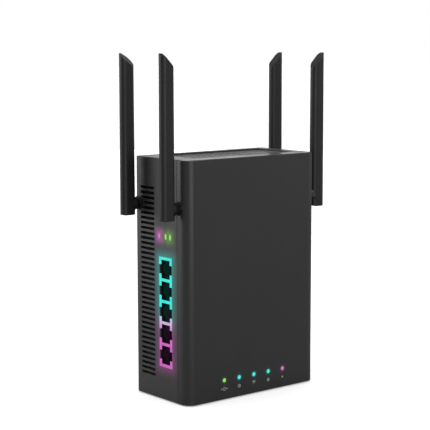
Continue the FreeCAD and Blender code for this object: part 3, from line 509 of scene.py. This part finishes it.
def strip(build, points, closed, width, thick, to_frame):
    """Flat printed line of this width along points in its own plane."""
    count = len(points)
    rows = []
    for i, point in enumerate(points):
        before = points[i - 1] if i > 0 or closed else point
        after = points[(i + 1) % count] if i < count - 1 or closed else point
        along = (Vector(after) - Vector(before)).normalized()
        across = Vector((-along.y, along.x)) * width / 2
        sides = (Vector(point) + across, Vector(point) - across)
        rows.append([build.verts.new(to_frame(s.x, s.y, h)) for h in (0.0, thick) for s in sides])
    steps = count if closed else count - 1
    for i in range(steps):
        a, b = rows[i], rows[(i + 1) % count]
        for low, high in ((0, 1), (1, 3), (3, 2), (2, 0)):
            build.faces.new((a[low], a[high], b[high], b[low]))
    if not closed:
        for row in (rows[0], rows[-1]):
            build.faces.new((row[0], row[1], row[3], row[2]))


def arc(radius, start, end, count, centre=(0.0, 0.0)):
    """Points on an arc, angles in degrees."""
    angles = [math.radians(start + (end - start) * i / (count - 1)) for i in range(count)]
    return [(centre[0] + radius * math.cos(a), centre[1] + radius * math.sin(a)) for a in angles]


MARK_LINE = 0.34 * MM
MARK_THICK = 0.03 * MM
MARK_DROP = 5.7 * MM


def mark_shapes(kind):
    """Lines of a small symbol: points, whether closed, and width."""
    if kind == "power":
        return [
            (arc(1.0 * MM, 120, 420, 24), False, MARK_LINE),
            ([(0.0, 0.3 * MM), (0.0, 1.3 * MM)], False, MARK_LINE),
            ([(-2.6 * MM, 0.0), (-1.7 * MM, 0.0)], False, MARK_LINE * 2),
            ([(1.7 * MM, 0.0), (2.6 * MM, 0.0)], False, MARK_LINE * 2),
        ]
    if kind == "globe":
        return [
            (arc(1.0 * MM, 0, 345, 24), True, MARK_LINE),
            ([(-1.0 * MM, 0.0), (1.0 * MM, 0.0)], False, MARK_LINE * 0.7),
            ([(0.0, -1.0 * MM), (0.0, 1.0 * MM)], False, MARK_LINE * 0.7),
        ]
    if kind == "waves":
        foot = (0.0, -0.8 * MM)
        lines = [(arc(r * MM, 48, 132, 12, foot), False, MARK_LINE) for r in (0.9, 1.5, 2.1)]
        lines.append((arc(0.14 * MM, 0, 315, 8, foot), True, MARK_LINE))
        return lines
    if kind == "ring":
        return [
            (arc(0.95 * MM, 0, 345, 24), True, MARK_LINE),
            (arc(0.25 * MM, 0, 330, 12), True, MARK_LINE * 1.6),
        ]
    link = [(0.6 * MM, 0.0), (0.0, 0.6 * MM), (-0.6 * MM, 0.0), (0.0, -0.6 * MM)]
    return [(link, True, MARK_LINE), (arc(0.2 * MM, 0, 315, 8), True, MARK_LINE)]


def printed_ink():
    """Grey printing ink, slightly worn."""
    look = Look("printed_ink")
    thin = look.spread(look.noise(900, 4), 0.35, 0.7)
    look.surface(Base_Color=look.blend(thin, (0.5, 0.5, 0.51), (0.28, 0.28, 0.285)), Roughness=0.6)
    look.relief(look.noise(1800, 2), 0.01 * MM)
    return look.material


def add_mark(name, kind, to_frame, ink):
    """One printed symbol."""
    def build(mesh):
        for points, closed, width in mark_shapes(kind):
            strip(mesh, points, closed, width, MARK_THICK, to_frame)
    return new_piece(name, build, "case", ink)


def add_marks():
    """Printed symbols below the front lights and beside the controls."""
    ink = printed_ink()
    front = CASE_LOW.y
    for i, kind in enumerate(("power", "globe", "waves", "ring", "link")):
        spot = middle(f"front_light_{i + 1}")
        height = spot.z - MARK_DROP
        add_mark(f"front_mark_{i + 1}", kind, lambda x, y, h: (spot.x + x, front - h, height + y), ink)
    side = CASE_HIGH.x
    for name, kind in (("power_button", "power"), ("wps_button", "waves"), ("power_inlet", "ring")):
        low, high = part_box(name)
        spot = (low + high) / 2
        height = high.z + 2.6 * MM
        add_mark(f"{name}_mark", kind, lambda x, y, h: (side + h, spot.y + x, height + y), ink)


# Near-black gauze behind each column of air slots, a dust gauze whose dark tone is also painted shade for
# the inside of the case: its Y and Z span, and the notch that clears the rear hinge
GAUZE_Y = (5.6 * MM, 21.9 * MM)
GAUZE_Z = (13.0 * MM, 139.5 * MM)
NOTCH_Y = 18.1 * MM
NOTCH_Z = (121.4 * MM, 131.6 * MM)
GAUZE_THICK = 0.3 * MM
GAUZE_INSET = 2.2 * MM


def shade_gauze_look():
    """Black woven gauze, whose near-black tone is also painted shade for the inside of the case."""
    look = Look("dust_gauze_and_shade")
    across = look.sum("SINE", look.sum("MULTIPLY", look.axis("Y"), 8000.0))
    up = look.sum("SINE", look.sum("MULTIPLY", look.axis("Z"), 8000.0))
    weave = look.sum("MULTIPLY", across, up)
    # Near-black weave: painted shade for the inside of the case behind the slots
    tone = look.blend(look.spread(weave, -1.0, 1.0), (0.003, 0.003, 0.003), (0.009, 0.009, 0.0095))
    drift = look.spread(look.noise(90, 4), 0.3, 0.7, 0.72, 0.9)
    look.surface(Base_Color=tone, Roughness=drift, Specular_IOR_Level=0.2)
    look.relief(weave, 0.06 * MM)
    return look.material


def add_gauze():
    """Near-black gauze inside both side walls, also standing in for the shade inside the case."""
    material = shade_gauze_look()
    near, far = GAUZE_Y
    outline = [(near, GAUZE_Z[0]), (far, GAUZE_Z[0]), (far, NOTCH_Z[0]), (NOTCH_Y, NOTCH_Z[0])]
    outline += [(NOTCH_Y, NOTCH_Z[1]), (far, NOTCH_Z[1]), (far, GAUZE_Z[1]), (near, GAUZE_Z[1])]
    for name, side in (("left", -1), ("right", 1)):
        x = side * (CASE_HIGH.x - GAUZE_INSET)

        def build(mesh, x=x):
            sheet = mesh.faces.new([mesh.verts.new((x, y, z)) for y, z in outline])
            copy = bmesh.ops.extrude_face_region(mesh, geom=[sheet])
            moved = [part for part in copy["geom"] if isinstance(part, bmesh.types.BMVert)]
            bmesh.ops.translate(mesh, verts=moved, vec=(GAUZE_THICK, 0.0, 0.0))

        new_piece(f"vent_gauze_{name}", build, "case", material)


def pale_for_camera(tree, bright, dim):
    """Stage tone: this bright in the picture, and this dim as a source of light on the object."""
    path = tree.nodes.new("ShaderNodeLightPath")
    mix = tree.nodes.new("ShaderNodeMix")
    mix.data_type = "RGBA"
    tree.links.new(path.outputs["Is Camera Ray"], mix.inputs[0])
    mix.inputs[6].default_value = (dim, dim, dim, 1.0)
    mix.inputs[7].default_value = (bright, bright, bright, 1.0)
    return mix.outputs[2]


def add_floor():
    """Plain pale floor under the object."""
    mesh = bpy.data.meshes.new("floor")
    build = bmesh.new()
    bmesh.ops.create_grid(build, x_segments=1, y_segments=1, size=12.0)
    build.to_mesh(mesh)
    build.free()
    floor = bpy.data.objects.new("floor", mesh)
    bpy.context.scene.collection.objects.link(floor)
    look = Look("floor_white")
    look.surface(Base_Color=pale_for_camera(look.tree, FLOOR_SHOWN, FLOOR_GIVEN), Roughness=0.9)
    look.surface(Specular_IOR_Level=0.0)
    look.surface(Emission_Color=pale_for_camera(look.tree, FLOOR_GLOW, 0.0), Emission_Strength=1.0)
    mesh.materials.append(look.material)


def add_light(name, angle, distance, height, size, power):
    """Soft rectangular studio light, turned towards the object."""
    data = bpy.data.lights.new(name, "AREA")
    data.shape = "RECTANGLE"
    data.size, data.size_y = size
    data.energy = power
    light = bpy.data.objects.new(name, data)
    light.visible_camera = False
    turn = math.radians(angle)
    place = Vector((-distance * math.cos(turn), -distance * math.sin(turn), height))
    light.location = place
    light.rotation_euler = (LIGHT_TARGET - place).to_track_quat("-Z", "Y").to_euler()
    bpy.context.scene.collection.objects.link(light)


def add_studio():
    """White surroundings and soft lights."""
    world = bpy.data.worlds.new("studio")
    world.use_nodes = True
    background = world.node_tree.nodes["Background"]
    tone = pale_for_camera(world.node_tree, WORLD_SHOWN, WORLD_GIVEN)
    world.node_tree.links.new(tone, background.inputs["Color"])
    bpy.context.scene.world = world
    bpy.context.scene.view_settings.view_transform = "Standard"
    sun = bpy.data.lights.new("overhead", "SUN")
    sun.energy = SUN_STRENGTH
    sun.angle = math.radians(SUN_SPREAD)
    overhead = bpy.data.objects.new("overhead", sun)
    bpy.context.scene.collection.objects.link(overhead)
    for light in STUDIO_LIGHTS:
        add_light(*light)


def add_camera():
    """Camera at the three-quarter view from the front left."""
    data = bpy.data.cameras.new("camera")
    data.lens = CAMERA_LENS
    data.sensor_width = 36.0
    data.clip_start = 0.01
    camera = bpy.data.objects.new("camera", data)
    turn = Matrix.Rotation(math.radians(-CAMERA_TURN), 4, "Z")
    tilt = Matrix.Rotation(math.radians(90.0 - CAMERA_DOWN), 4, "X")
    roll = Matrix.Rotation(math.radians(CAMERA_ROLL), 4, "Z")
    camera.matrix_world = Matrix.Translation(CAMERA_PLACE) @ turn @ tilt @ roll
    bpy.context.scene.collection.objects.link(camera)
    bpy.context.scene.camera = camera


paint_case()
paint_lights()
paint_antennas(*paint_electronics())
add_marks()
add_gauze()
add_floor()
add_studio()
add_camera()
